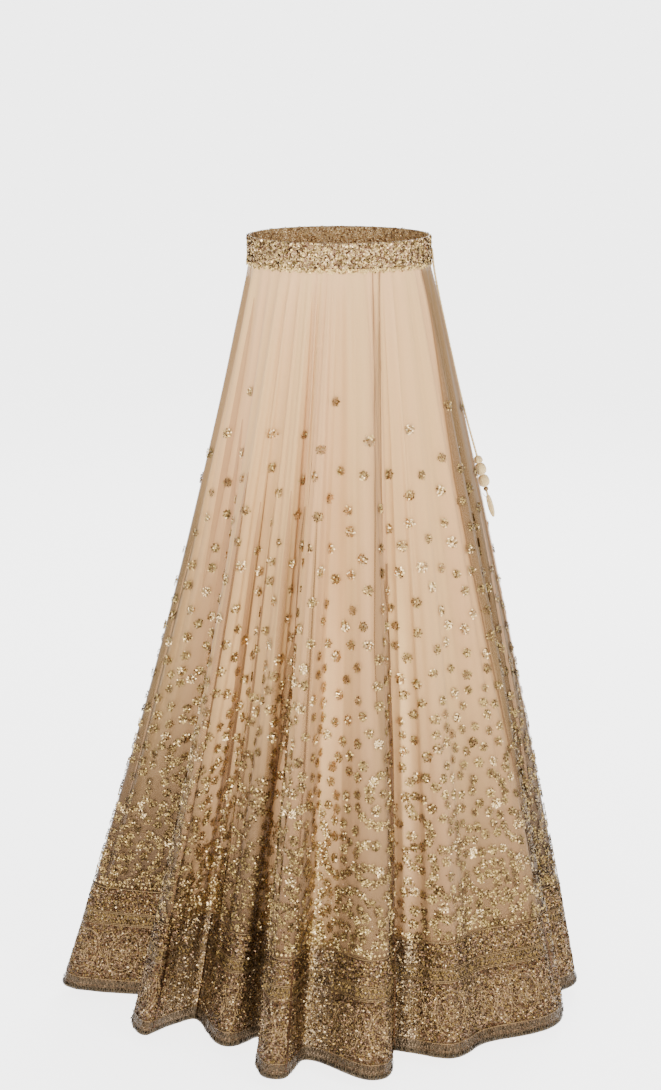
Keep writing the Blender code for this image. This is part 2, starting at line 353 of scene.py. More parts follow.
def relief(col, drop):
    """How far the net's fine folds stand out of its plain form."""
    total = np.zeros(np.broadcast(col, drop).shape)
    turn = 2 * np.pi * col / COLUMNS
    for count, phase, drift, size in RIPPLES:
        total = total + size * np.sin(turn * count + phase + drift * drop)
    patch = 0.75 + 0.45 * np.sin(turn * 5 + 1.0) + 0.35 * np.sin(turn * 9 + 2.6)
    spread = eased(drop, 0.0, 0.06) * (1 - 0.75 * eased(drop, 0.80, 0.90))
    total = total * np.clip(patch, 0.25, 1.6) * spread
    for crease in CREASES:
        shape = bell(col, crease.col + crease.lean * (drop - 0.5), crease.wide)
        run = within(drop, crease.start, crease.start + 0.15, crease.end - 0.12, crease.end)
        total = total + crease.out * shape * run
    left, right = tuck(drop)
    for line, wide, out in ((right_fold(drop), 0.30, -0.0034), (right_fold(drop) + 0.7, 0.36, 0.0028),
                            (right, 0.26, -0.0040), (right - 0.6, 0.40, 0.0020), (left, 0.22, -0.0016)):
        total = total + out * bell(col, line, wide)
    total = total * (0.30 + 0.70 * eased(drop, 0.05, 0.55))
    under_cord = within(col, 25.5, 27.5, 32.5, 34.5) * (1 - eased(drop, 0.30, 0.40))
    return total * (1 - 0.8 * under_cord)


def low_left_darkening(col, drop):
    """How much more, and darker and browner, the work is low on the left of the front."""
    col = np.mod(col, COLUMNS)
    return eased(drop, 0.50, 0.84) * within(col, 98.0, 108.0, 122.0, 154.0)


# How dark the light falls on the net round the skirt, halfway down it and by the border.
SHADES = rows(
    "Shade", "col middle low",
    (0, 0.00, 0.06),
    (5, 0.00, 0.12),
    (9, 0.05, 0.36),
    (20, 0.10, 0.34),
    (40, 0.04, 0.24),
    (70, 0.06, 0.28),
    (96, 0.10, 0.34),
    (104, 0.44, 0.90),
    (110, 0.46, 0.98),
    (117, 0.24, 0.95),
    (123, 0.16, 0.88),
    (135, 0.16, 0.70),
    (142, 0.16, 0.54),
    (150, 0.08, 0.46),
    (157, 0.04, 0.40),
    (160, 0.00, 0.06),
)


def shading(col, drop):
    """The shade at each place of the net from the table, none at the top and more towards the border."""
    middle = read(SHADES, "middle", col)
    low = read(SHADES, "low", col)
    return middle * eased(drop, 0.22, 0.50) + (low - middle) * eased(drop, 0.48, 0.82)


def shaded_side_band(col, drop):
    """1 on the band behind the fold down the front's right, darker for double net and for painted shade."""
    return eased(col - right_fold(drop), 0.0, 0.35) * (1 - eased(col, 25.0, 35.0))


def layer_and_shade_tone(col, drop):
    """How dark the net is drawn: partly where it lies in layers at the tuck and side folds, partly painted
    shade.
    """
    col = np.mod(col, COLUMNS)
    right = shaded_side_band(col, drop)
    left = 0.8 * within(col, 97.0, 101.0, 104.2, 106.2)
    back = 0.7 * within(col, 58.0, 60.0, 66.0, 70.0)
    tuck_left, tuck_right = tuck(drop)
    soft = 0.3 + 2.0 * np.clip(drop - 0.55, 0, 1)
    inside = eased(from_line(col, tuck_left), -0.1, soft) * (1 - eased(from_line(col, tuck_right), -0.2, 0.1))
    layers = right + left + back + 0.55 * inside * eased(drop, 0.02, 0.15)
    return np.clip(layers + shading(col, drop), 0, 1)


def deep(col, drop):
    """1 where a place lies deep in a fold low on the skirt, and 0 on the crests."""
    return eased(look_up(HOLLOW, col), 0.007, 0.048) * eased(drop, 0.30, 0.65)


def painted_net_shade(col, drop):
    """Painted shade on the net, and below 0 painted light, deep in the folds as if lit through from both
    sides.
    """
    return layer_and_shade_tone(col, drop) - 1.1 * deep(col, drop)


def slopes(place, col, drop, step):
    """How points given by place change across the cloth and down it. step is the step down it."""
    across = place(col + 0.04, drop) - place(col - 0.04, drop)
    return across, place(col, np.minimum(drop + step, 1.0)) - place(col, np.maximum(drop - step, 0.0))


def net(col, drop, away=0.0):
    """Points of the net, moved out along its normals by away."""
    col, drop = np.broadcast_arrays(np.asarray(col, float), np.asarray(drop, float))
    across, down = slopes(base, col, drop, 0.004)
    return base(col, drop) + unit(np.cross(down, across)) * (relief(col, drop) + away)[..., None]


def net_frame(col, drop, away=0.0):
    """Points of the net, with the directions across it, down it and out of it."""
    across, down = slopes(lambda *place: net(*place, away), col, drop, 0.003)
    across = unit(across)
    normal = unit(np.cross(down, across))
    return net(col, drop, away), across, np.cross(across, normal), normal


# ---- Pieces --------------------
NET_NODES = [f"net_panel_{number}" for number in range(1, PANELS + 1)]
LINING_NODES = [f"lining_panel_{number}" for number in range(1, PANELS + 1)]
BORDER_NODES = [f"border_strip_{number}" for number in range(1, 5)]
CLOTH_LENGTH = NET_TOP - HEM
BORDER_HIGH = (1 - BORDER_DROP) * CLOTH_LENGTH
RUN_COL = HEM_RUN / COLUMNS


def piece(name, mesh, finish, nodes=(), uv=None, smooth=True, values=None):
    """An object from points and faces that all have as many corners, riding on the skirt's one body."""
    points = np.asarray(mesh[0], np.float32).reshape(-1, 3)
    faces = np.asarray(mesh[1], np.int32)
    data = bpy.data.meshes.new(name)
    data.vertices.add(len(points))
    data.vertices.foreach_set("co", points.ravel())
    data.loops.add(faces.size)
    data.loops.foreach_set("vertex_index", faces.ravel())
    data.polygons.add(len(faces))
    data.polygons.foreach_set("loop_start", np.arange(0, faces.size, faces.shape[1], dtype=np.int32))
    data.polygons.foreach_set("use_smooth", np.full(len(faces), smooth))
    data.update(calc_edges=True)
    if uv is not None:
        layer = data.uv_layers.new(name="UVMap")
        layer.uv.foreach_set("vector", np.asarray(uv, np.float32).ravel())
    if values is not None:
        painted = data.attributes.new("shade", "FLOAT", "POINT")
        painted.data.foreach_set("value", np.full(len(points), values, np.float32))
    data.materials.append(finish)
    made = bpy.data.objects.new(name, data)
    bpy.context.scene.collection.objects.link(made)
    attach(made, "root")
    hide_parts(*nodes)
    return made


def flat_uv(mesh, depth=0):
    """Each face corner's place from its sideways and upward position, with its depth counted in or not."""
    points, faces = mesh
    corners = points[faces.ravel()]
    return np.stack([corners[:, 0] + depth * corners[:, 1], corners[:, 2]], axis=-1)


def grid_faces(index, *closed):
    """Faces of a grid of points, which goes on from its last row or column to its first along closed."""
    for axis in closed:
        index = np.append(index, index.take([0], axis), axis)
    return np.stack([index[:-1, :-1], index[1:, :-1], index[1:, 1:], index[:-1, 1:]], axis=-1).reshape(-1, 4)


def numbered(*shape):
    return np.arange(math.prod(shape)).reshape(shape)


def tube_faces(count, sides):
    """Faces of rings of points, one after another."""
    return grid_faces(numbered(count, sides), 1)[:, [0, 3, 2, 1]]


def round_tube(cols, drops, place):
    """Cloth that closes round the skirt: its mesh, its face corners' places, and its columns and drops."""
    col, drop = np.meshgrid(cols, drops)
    points = place(col, drop).reshape(-1, 3)
    ends = np.append(cols, COLUMNS)
    left_col, high = np.meshgrid(ends[:-1], drops[:-1])
    right_col, low = np.meshgrid(ends[1:], drops[1:])
    us = np.stack([left_col, left_col, right_col, right_col], axis=-1) * HEM_RUN / COLUMNS
    vs = -np.stack([high, low, low, high], axis=-1) * CLOTH_LENGTH
    mesh = (points, grid_faces(numbered(*col.shape), 1))
    return mesh, np.stack([us, vs], axis=-1).reshape(-1, 2), col.ravel(), drop.ravel()


def strip_faces(count, wide, sets=1):
    """Faces of flat strips, each of count by wide points, one after another."""
    starts = np.arange(sets) * count * wide
    return (grid_faces(numbered(count, wide))[None] + starts[:, None, None]).reshape(-1, 4)


def scales(where, size, long, turn, tips, sides=4):
    """Small flat scales. where is a frame from net_frame; turn and both tips have a value for each scale."""
    middle, across, down, normal = where
    flat_across = across - normal * tips[0][:, None]
    flat_down = down - normal * tips[1][:, None]
    along = flat_across * np.cos(turn)[:, None] + flat_down * np.sin(turn)[:, None]
    beside = flat_down * np.cos(turn)[:, None] - flat_across * np.sin(turn)[:, None]
    corners = []
    for corner in range(sides):
        angle = math.tau * (corner + 0.5) / sides
        corners.append(middle + along * np.reshape(math.cos(angle) * size * long, (-1, 1))
                       - beside * np.reshape(math.sin(angle) * size, (-1, 1)))
    points = np.stack(corners, axis=1).reshape(-1, 3)
    return points, np.arange(len(points)).reshape(-1, sides)


def strewn(where, size, low, high, long, lean):
    """What scales takes, for scales of many sizes about one, turned every way and tipped by about lean."""
    count = len(where[0])
    return (where, rng.uniform(low, high, count) * size, long, rng.uniform(0, math.tau, count),
            rng.normal(0, lean, (2, count)))


def by_colour(numbers, colours, where, size, long, turn, tips):
    """Scales sorted by the number of their colour, a mesh for each."""
    made = []
    for colour in range(colours):
        on = numbers == colour
        made.append(scales([part[on] for part in where], size[on], long, turn[on], tips[:, on]))
    return made


def joined(parts):
    """Several meshes as one."""
    starts = np.cumsum([0] + [len(points) for points, _ in parts])
    return (np.concatenate([points for points, _ in parts]),
            np.concatenate([faces + start for (_, faces), start in zip(parts, starts)]))


# ---- Materials --------------------
def linear(red, green, blue):
    """A colour given as on a screen, 0 to 255, as the renderer's linear one."""
    parts = [value / 255 for value in (red, green, blue)]
    parts = [part / 12.92 if part <= 0.04045 else ((part + 0.055) / 1.055) ** 2.4 for part in parts]
    return (*parts, 1.0)


def grey(value):
    return (value, value, value, 1.0)


class Nodes:
    """A material's nodes, made and joined in a few words."""

    def __init__(self, name):
        self.material = bpy.data.materials.new(name)
        self.material.use_nodes = True
        self.tree = self.material.node_tree
        self.tree.nodes.clear()
        self.shader = self.add("BsdfPrincipled")
        out = self.add("OutputMaterial")
        self.join(self.shader.outputs["BSDF"], out.inputs["Surface"])

    def add(self, kind, **settings):
        node = self.tree.nodes.new("ShaderNode" + kind)
        for key, value in settings.items():
            setattr(node, key, value)
        return node

    def join(self, source, target):
        self.tree.links.new(source, target)

    def put(self, **values):
        for key, value in values.items():
            self.shader.inputs[key.replace("_", " ")].default_value = value

    def cloth_place(self, across, down):
        """The place on the cloth, stretched by a factor each way."""
        mapping = self.add("Mapping")
        mapping.inputs["Scale"].default_value = (across, down, 1)
        self.join(self.add("UVMap").outputs["UV"], mapping.inputs["Vector"])
        return mapping.outputs["Vector"]

    def body_place(self):
        return self.add("TexCoord").outputs["Object"]

    def noise(self, place, scale, detail=2.0):
        node = self.add("TexNoise")
        node.inputs["Scale"].default_value = scale
        node.inputs["Detail"].default_value = detail
        self.join(place, node.inputs["Vector"])
        return node.outputs["Fac"]

    def cells(self, scale, **settings):
        node = self.add("TexVoronoi", **settings)
        node.inputs["Scale"].default_value = scale
        self.join(self.cloth_place(1, 1), node.inputs["Vector"])
        return node.outputs

    def span(self, value, start, end):
        """How far a value lies from start to end, between 0 and 1."""
        node = self.add("MapRange")
        node.inputs["From Min"].default_value = start
        node.inputs["From Max"].default_value = end
        self.join(value, node.inputs["Value"])
        return node.outputs["Result"]

    def shade(self):
        """The painted shade: above 0 darker, below 0 lighter."""
        return self.add("Attribute", attribute_name="shade").outputs["Fac"]

    def ramp(self, value, *stops):
        node = self.add("ValToRGB")
        points = node.color_ramp.elements
        while len(points) < len(stops):
            points.new(0.5)
        for point, (position, colour) in zip(points, stops):
            point.position = position
            point.color = colour
        self.join(value, node.inputs["Fac"])
        return node.outputs["Color"]

    def down_the_skirt(self, *stops):
        """A colour that changes down the skirt: each stop is a drop and a colour as on a screen."""
        split = self.add("SeparateXYZ")
        self.join(self.body_place(), split.inputs["Vector"])
        stops = [(drop, linear(*colour)) for drop, colour in stops]
        return self.ramp(self.span(split.outputs["Z"], NET_TOP, HEM), *stops)

    def streaks(self, across, down, dark):
        """Uneven greys that run down the cloth: painted shade of its fine creases."""
        uneven = self.noise(self.cloth_place(across, down), 1.0, 3.0)
        return self.ramp(uneven, (0.30, grey(dark)), (0.70, grey(1.0)))

    def blend(self, share, first, second, kind="MIX"):
        node = self.add("Mix", data_type="RGBA", blend_type=kind)
        for index, value in ((0, share), (6, first), (7, second)):
            if isinstance(value, (tuple, float)):
                node.inputs[index].default_value = value
            else:
                self.join(value, node.inputs[index])
        return node.outputs[2]

    def times(self, first, second):
        return self.blend(1.0, first, second, "MULTIPLY")

    def colour(self, value):
        self.join(value, self.shader.inputs["Base Color"])

    def bump(self, height, distance, strength=1.0):
        node = self.add("Bump")
        node.inputs["Strength"].default_value = strength
        node.inputs["Distance"].default_value = distance
        self.join(height, node.inputs["Height"])
        self.join(node.outputs["Normal"], self.shader.inputs["Normal"])


def net_finish(name, alpha, dark):
    """Fine net that lets the lining through. dark is what its colour is multiplied by in full shade."""
    made = Nodes(name)
    plain = made.down_the_skirt(
        (0.00, (229, 185, 132)),
        (0.30, (217, 171, 117)),
        (0.55, (202, 160, 109)),
        (0.70, (178, 139, 96)),
        (0.85, (149, 114, 78)),
        (1.00, (124, 92, 62)),
    )
    warm = made.ramp(made.noise(made.cloth_place(9, 1.3), 1.0, 1.0), (0.38, (1.0, 0.95, 0.93, 1.0)),
                     (0.62, (0.97, 0.98, 0.89, 1.0)))
    mesh = made.cells(750, feature="DISTANCE_TO_EDGE")["Distance"]
    threads = made.ramp(mesh, (0.05, grey(1.0)), (0.35, grey(0.88)))
    plain = made.times(made.times(made.times(plain, made.streaks(26, 0.8, 0.88)), warm), threads)
    # Painted shade darkens the colour; below 0, deep in the folds, painted light lightens and cools it.
    lighter = made.blend(1.0, plain, made.times(plain, (0.62, 0.70, 0.84, 1.0)), "ADD")
    shown = made.blend(made.shade(), plain, made.times(plain, dark))
    made.colour(made.blend(made.span(made.shade(), 0.0, -1.0), shown, lighter))
    made.put(Roughness=0.72, Alpha=alpha, Sheen_Weight=0.10, Sheen_Roughness=0.45, Specular_IOR_Level=0.25)
    made.bump(mesh, 0.0002, 0.4)
    return made.material


def lining_finish():
    made = Nodes("lining_satin")
    plain = made.down_the_skirt(
        (0.00, (234, 195, 142)),
        (0.45, (220, 177, 123)),
        (0.80, (176, 136, 92)),
        (1.00, (150, 112, 76)),
    )
    made.colour(made.times(plain, made.streaks(11, 0.5, 0.84)))
    made.put(Roughness=0.42, Sheen_Weight=0.2, Specular_IOR_Level=0.35)
    made.bump(made.noise(made.cloth_place(900, 500), 1.0, 2.0), 0.0001, 0.3)
    return made.material


def metal_finish(name, screen, roughness, metallic=1.0):
    """Foil scales: each has its own slight dents."""
    made = Nodes(name)
    colour = linear(*screen)
    dents = made.noise(made.body_place(), 420.0, 1.0)
    made.colour(made.ramp(dents, (0.35, tuple(c * 0.72 for c in colour[:3]) + (1.0,)), (0.65, colour)))
    made.put(Roughness=roughness, Metallic=metallic)
    made.bump(dents, 0.0006, 0.6)
    return made.material


def stitched_finish(name, *colours):
    """Close embroidery in threads and scales of several colours, a cell to each."""
    made = Nodes(name)
    cells = made.cells(420)
    split = made.add("SeparateColor")
    made.join(cells["Color"], split.inputs["Color"])
    stops = [((place + 0.5) / len(colours), linear(*colour)) for place, colour in enumerate(colours)]
    stitched = made.ramp(split.outputs["Red"], *stops)
    # Painted light: below 0, deep in the folds, the painted shade lightens the embroidery.
    lighter = made.blend(1.0, stitched, (0.085, 0.068, 0.048, 1.0), "ADD")
    made.colour(made.blend(made.span(made.shade(), 0.0, -1.0), stitched, lighter))
    shine = made.ramp(split.outputs["Green"], (0.3, grey(0.25)), (0.7, grey(0.60)))
    made.join(shine, made.shader.inputs["Roughness"])
    made.put(Metallic=0.55)
    made.bump(cells["Distance"], 0.0016, 0.9)
    return made.material


def cord_finish():
    made = Nodes("ivory_cord")
    made.colour(made.ramp(made.noise(made.body_place(), 700.0), (0.3, linear(172, 144, 94)),
                          (0.7, linear(214, 184, 128))))
    made.put(Roughness=0.7, Sheen_Weight=0.3)
    made.bump(made.noise(made.body_place(), 900.0), 0.0006, 0.6)
    return made.material


NET = net_finish("net_cloth", 0.70, (0.31, 0.30, 0.28, 1.0))
NET_DOUBLED_AND_SHADED = net_finish("net_doubled_and_shaded", 0.60, (0.66, 0.62, 0.60, 1.0))
NET_LAYER_SHADED = net_finish("net_second_layer_shaded", 0.86, (0.32, 0.29, 0.22, 1.0))
NET_EDGE_SHADOW = net_finish("net_fold_edge_shadows", 0.76, (0.27, 0.22, 0.17, 1.0))
LINING = lining_finish()
GOLD = metal_finish("gold_scales", (188, 159, 103), 0.37)
OLIVE = metal_finish("olive_gold_scales", (148, 125, 76), 0.40)
PALE = metal_finish("pale_gold_scales", (228, 197, 148), 0.35)
BRONZE = metal_finish("bronze_scales", (112, 88, 58), 0.42)
DARK_GOLD = metal_finish("border_gold_scales", (150, 119, 72), 0.38)
DARK_OLIVE = metal_finish("border_olive_scales", (110, 88, 50), 0.44)
DARK_PALE = metal_finish("border_pale_scales", (190, 165, 126), 0.38)
DARK_BRONZE = metal_finish("border_bronze_scales", (80, 55, 36), 0.46)
ROSE = metal_finish("rose_scales", (134, 103, 80), 0.38)
THREAD = metal_finish("gold_thread", (132, 106, 70), 0.46, 0.7)
HEM_THREAD = metal_finish("hem_thread", (66, 51, 27), 0.50, 0.6)
STITCHED = stitched_finish(
    "border_embroidery", (76, 55, 36), (102, 79, 52), (86, 64, 42), (116, 91, 62), (94, 70, 44),
)
HEM_STITCHED = stitched_finish(
    "hem_embroidery", (30, 22, 12), (58, 45, 24), (42, 32, 17), (78, 62, 34), (26, 19, 11),
)
BAND_STITCHED = stitched_finish(
    "waistband_embroidery", (140, 106, 66), (190, 160, 110), (162, 130, 84), (208, 180, 138), (114, 84, 52),
)
CORD = cord_finish()

# ---- Drawstring ends --------------------
# Each end lies down the skirt on a column of its own, and leaves the waistband's opening a little beside its
# middle.
CORD_ENDS = rows(
    "CordEnd", "name column tassel_drop beside",
    ("drawstring_front", 28, 0.264, -0.00165),
    ("drawstring_back", 32, 0.240, 0.00165),
)
# How far out of the opening and how high each cord's first points are.
CORD_START = ((-0.0030, 0), (0.0015, 0), (0.0040, -0.0015), (0.0055, -0.0070))
# How far a cord's middle stands off the plain net, down the skirt.
CORD_STANDS = rows(
    "Stand", "drop away",
    (0.012, 0.0045),
    (0.045, 0.0038),
    (0.080, 0.0038),
    (0.125, 0.0038),
    (0.170, 0.0042),
    (0.215, 0.0060),
)
TASSEL_AWAY = 0.0097
TASSEL_LENGTH = 0.0910

# The tassel's parts as turned shapes: how far along the part, and how far out.
RING = "along out"
BLOSSOM = rows(
    "Ring", RING, (0.0004, 0.0016), (0.0012, 0.0036), (0.0034, 0.0056), (0.0064, 0.0064), (0.0098, 0.0066),
    (0.0092, 0.0050), (0.0062, 0.0036), (0.0040, 0.0015),
)
PUFF = rows(
    "Ring", RING, (0.0000, 0.0022), (0.0012, 0.0050), (0.0038, 0.0072), (0.0072, 0.0081), (0.0106, 0.0081),
    (0.0140, 0.0071), (0.0163, 0.0049), (0.0175, 0.0022),
)
BEAD = rows(
    "Ring", RING, (0.0000, 0.0015), (0.0008, 0.0028), (0.0022, 0.0034), (0.0038, 0.0034), (0.0052, 0.0028),
    (0.0060, 0.0015),
)
POINT = rows(
    "Ring", RING, (0.0000, 0.0015), (0.0016, 0.0030), (0.0080, 0.0040), (0.0190, 0.0043), (0.0270, 0.0034),
    (0.0320, 0.0015),
)
# Where each part begins along the tassel, how many lobes it has and how deep they are.
TASSEL = rows(
    "Part", "shape begin lobes dent",
    (BLOSSOM, 0.0, 6, 0.22),
    (PUFF, 0.0112, 14, 0.08),
    (PUFF, 0.0286, 14, 0.08),
    (POINT, 0.0588, 4, 0.22),
)
BEAD_BEGIN = 0.0464
# A direction that no part of a cord runs along.
ASIDE = np.array([0.31, 0.95, 0.05])


def cord_route(end):
    """The middle of a drawstring end, from inside the waistband's opening to the end of its tassel."""
    opening = math.radians(OPENING_DEG)
    out = np.array([math.sin(opening), -math.cos(opening), 0])
    along_band = np.array([math.cos(opening), math.sin(opening), 0])
    gate = np.array([(WAIST_HALF_WIDTH - BAND_INSET) * out[0], (WAIST_HALF_DEPTH - BAND_INSET) * out[1], 0])
    gate = gate + along_band * end.beside
    route = [gate + out * far + np.array([0, 0, high]) for far, high in CORD_START]
    drop = np.array([stand.drop for stand in CORD_STANDS] + [end.tassel_drop])
    away = np.array([stand.away for stand in CORD_STANDS] + [TASSEL_AWAY])
    col = np.full(len(drop), float(end.column))
    across = base(col + 0.5, drop) - base(col - 0.5, drop)
    normal = unit(np.cross(base(col, drop + 0.01) - base(col, drop - 0.01), across))
    route += list(base(col, drop) + normal * away[:, None])
    down = unit(route[-1] - route[-2])
    return np.array(route + [route[-1] + down * TASSEL_LENGTH]), down, normal[-1]


def smooth_line(points, count):
    """Even points on a smooth curve through the given ones."""
    ends = np.concatenate([[2 * points[0] - points[1]], points, [2 * points[-1] - points[-2]]])
    before, here, there, after = ends[:-3, None], ends[1:-2, None], ends[2:-1, None], ends[3:, None]
    t = np.linspace(0, 1, 24, endpoint=False)[None, :, None]
    curve = 0.5 * (2 * here + (there - before) * t + (2 * before - 5 * here + 4 * there - after) * t**2
                   + (3 * here - before - 3 * there + after) * t**3)
    fine = np.concatenate([curve.reshape(-1, 3), points[-1:]])
    run = np.concatenate([[0], np.cumsum(np.linalg.norm(np.diff(fine, axis=0), axis=1))])
    even = np.linspace(0, run[-1], count)
    return np.stack([np.interp(even, run, fine[:, axis]) for axis in range(3)], axis=-1), run[-1]


def circle_about(along, sides):
    """Directions evenly round a line or round each of several."""
    right = unit(np.cross(along, ASIDE))
    front = np.cross(along, right)
    angle = angles_round(sides)
    return right[..., None, :] * np.cos(angle)[:, None] + front[..., None, :] * np.sin(angle)[:, None]


def tube_round(line, radii, sides=12):
    """A closed tube about a line. radii is one radius, or a row of them for each point of the line."""
    circle = circle_about(unit(np.gradient(line, axis=0)), sides)
    points = line[:, None] + circle * np.broadcast_to(radii, (len(line), sides))[..., None]
    last = len(line) * sides
    caps = []
    for first, middle in ((0, last), (last - sides, last + 1)):
        for side in range(0, sides, 2):
            corners = [first + (side + step) % sides for step in range(3)] + [middle]
            caps.append(corners if middle > last else corners[::-1])
    points = np.concatenate([points.reshape(-1, 3), line[:1], line[-1:]])
    return points, np.concatenate([tube_faces(len(line), sides), np.array(caps)])


def turned(rings, start, down, begin, lobes, dent, sides=40, fine=5):
    """A turned shape on the tassel whose side swells in soft lobes."""
    even = np.linspace(0, 1, len(rings) * fine)
    at = np.linspace(0, 1, len(rings))
    along = np.interp(even, at, [ring.along for ring in rings])
    out = np.interp(even, at, [ring.out for ring in rings])
    soft = np.array([0.25, 0.5, 0.25])
    out[1:-1] = np.convolve(out, soft, mode="valid")
    along[1:-1] = np.convolve(along, soft, mode="valid")
    angle = angles_round(sides)
    swell = 1 - dent * (0.5 + 0.5 * np.cos(lobes * angle))[None, :] * np.linspace(1, 0.7, len(out))[:, None]
    points = start + down * (begin + along)[:, None, None] + circle_about(down, sides)[None] * (
        out[:, None] * swell)[..., None]
    return points.reshape(-1, 3), tube_faces(len(out), sides)


def drawstring_end(end):
    """One end of the drawstring: a twisted cord, its tassel with a loose thread, and the tassel's bead."""
    route, down, normal = cord_route(end)
    line, length = smooth_line(route, 500)
    twist = np.cos(2 * angles_round(10)[None, :] - math.tau * np.linspace(0, length / 0.0055, 500)[:, None])
    mesh = tube_round(line, CORD_RADIUS + 0.00016 * twist, 10)
    cord = piece(end.name, mesh, CORD, [end.name + "_end"])
    start = route[-2]
    side = np.cross(normal, down)
    t = np.linspace(0, 1, 12)[:, None]
    whisker = start + down * (0.0620 + 0.0030 * np.sin(3 * t))
    whisker = whisker + (side * 0.017 + normal * 0.004) * t - down * 0.004 * t
    parts = [turned(part.shape, start, down, part.begin, part.lobes, part.dent) for part in TASSEL]
    parts.append(tube_round(whisker, 0.00040, 6))
    tassel = piece(end.name + "_tassel", joined(parts), CORD)
    bead = piece(end.name + "_bead", turned(BEAD, start, down, BEAD_BEGIN, 8, 0.10, sides=24), THREAD)


for end in CORD_ENDS:
    drawstring_end(end)

# ---- Lining and net --------------------
LINING_END = 1 - LINING_SHORT / CLOTH_LENGTH


def lining_place(col, drop):
    return base(col, drop * LINING_END, lining=True)


mesh, uv, _, _ = round_tube(np.arange(0, COLUMNS, 0.5), np.linspace(0, 1, 41), lining_place)
lining = piece("satin_lining", mesh, LINING, LINING_NODES, uv)
mesh, uv, col, drop = round_tube(np.arange(0, COLUMNS, 1 / 7), np.linspace(0, 1, 80), net)
net_cloth = piece("net_cloth", mesh, NET, NET_NODES, uv, values=painted_net_shade(col, drop))

# Bands where the net is folded over itself and so lies double. Each runs from one column to another over a
# stretch of the skirt's drop, and is wide metres wide.
# The bands are drawn darker than the net: painted shade of the folds.
BAND = "col end_col wide start end"
FRONT_BANDS = rows(
    "Band", BAND,
    (110.6, 111.2, 0.0150, 0.20, 0.80),
    (118.2, 119.4, 0.0130, 0.25, 0.86),
    (122.2, 123.4, 0.0110, 0.30, 0.86),
    (126.2, 127.0, 0.0090, 0.28, 0.80),
    (130.6, 131.2, 0.0080, 0.28, 0.78),
    (135.8, 131.6, 0.0120, 0.30, 0.78),
    (139.2, 138.4, 0.0070, 0.18, 0.60),
    (143.0, 143.8, 0.0090, 0.30, 0.80),
)
SIDE_BANDS = 26
FOLDS_END = 0.857


def side_bands():
    """The same kind of bands on the sides and the back."""
    made = []
    for number in range(SIDE_BANDS):
        start = draw(0.03, 0.4)
        col = 20 + number * 3.55 + draw(-0.8, 0.8)
        made.append((col, col + draw(-0.6, 0.6), draw(0.005, 0.012), start,
                     start + draw(0.3, 0.5)))
    return rows("Band", BAND, *made)


def pace_at(col, drop):
    """How wide a column is at a place, in metres."""
    return np.linalg.norm(base(col + 0.5, drop) - base(col - 0.5, drop), axis=-1)


# Extra net, drawn at its finish's full painted shade.
def more_net(name, mesh, finish, depth=0):
    return piece(name, mesh, finish, (), flat_uv(mesh, depth), values=1.0)


def band_strips(bands, away, count=60):
    """Bands of net as strips that lie on it. Long ones taper to both ends."""
    made = []
    for band in bands:
        drop = np.linspace(band.start, band.end, count)[:, None]
        share = (drop - band.start) / (band.end - band.start)
        col = band.col + (band.end_col - band.col) * share
        taper = 1.0
        if band.end - band.start > 0.20:
            taper = np.sin(np.pi * np.clip(share, 0.01, 0.99)) ** 0.6
        half = band.wide * taper / 2 / pace_at(col, drop)
        side = np.linspace(-1, 1, 4)[None, :]
        made.append(net(col + half * side, drop + 0 * side, away))
    return np.concatenate([strip.reshape(-1, 3) for strip in made]), strip_faces(count, 4, len(made))


doubled_and_shaded = more_net("doubled_and_shaded_net", band_strips(FRONT_BANDS + side_bands(), 0.0012), NET_DOUBLED_AND_SHADED)

# Where a second layer of net lies under the first, besides the front's right and the tuck.
# All second layers are drawn dark: partly a real layer under the net, partly painted shade in the folds.
LAYERS = rows(
    "Layer", "col end_col lean start end",
    (97.5, 105.0, 0.8, 0.02, 0.99),
    (58.5, 67.0, 0.6, 0.02, 0.99),
    (82.0, 86.5, -0.5, 0.02, 0.90),
)
RIGHT_LAYER_END = 29.0


def second_layers():
    share = np.linspace(0, 1, 81)[None, :]
    drop = np.linspace(0.01, 0.99, 60)[:, None]
    places = [(right_fold(drop) + (RIGHT_LAYER_END - right_fold(drop)) * share, drop)]
    drop = np.linspace(0.03, 0.62, 60)[:, None]
    left, right = tuck(drop)
    places.append((left + (right - left) * share, drop))
    for layer in LAYERS:
        drop = np.linspace(layer.start, layer.end, 60)[:, None]
        col = np.linspace(layer.col, layer.end_col, 81)[None, :] + layer.lean * (drop - 0.5)
        places.append((col, drop))
    made = [net(col, drop + 0 * col, -0.0011).reshape(-1, 3) for col, drop in places]
    return np.concatenate(made), strip_faces(60, 81, len(made))


shaded_second_layer = more_net("shaded_second_net_layer", second_layers(), NET_LAYER_SHADED, 1)

# The net's pressed fold edges, as narrow dark strips: the edge lies double, with the fold's painted shadow.
EDGE_SHADOWS = rows(
    "Band", BAND,
    (118.9, 119.8, 0.0030, 0.26, FOLDS_END),
    (123.0, 123.7, 0.0034, 0.26, FOLDS_END),
    (126.8, 127.4, 0.0020, 0.30, 0.80),
    (135.9, 131.4, 0.0028, 0.30, 0.80),
    (143.2, 143.9, 0.0022, 0.30, FOLDS_END),
    (40.2, 41.6, 0.0026, 0.05, 0.85),
    (51.0, 50.2, 0.0020, 0.20, 0.80),
    (58.7, 59.2, 0.0030, 0.02, FOLDS_END),
    (67.1, 67.0, 0.0026, 0.04, 0.85),
    (76.0, 76.9, 0.0020, 0.12, 0.80),
    (86.6, 85.9, 0.0030, 0.03, FOLDS_END),
    (95.1, 95.8, 0.0022, 0.10, 0.82),
)


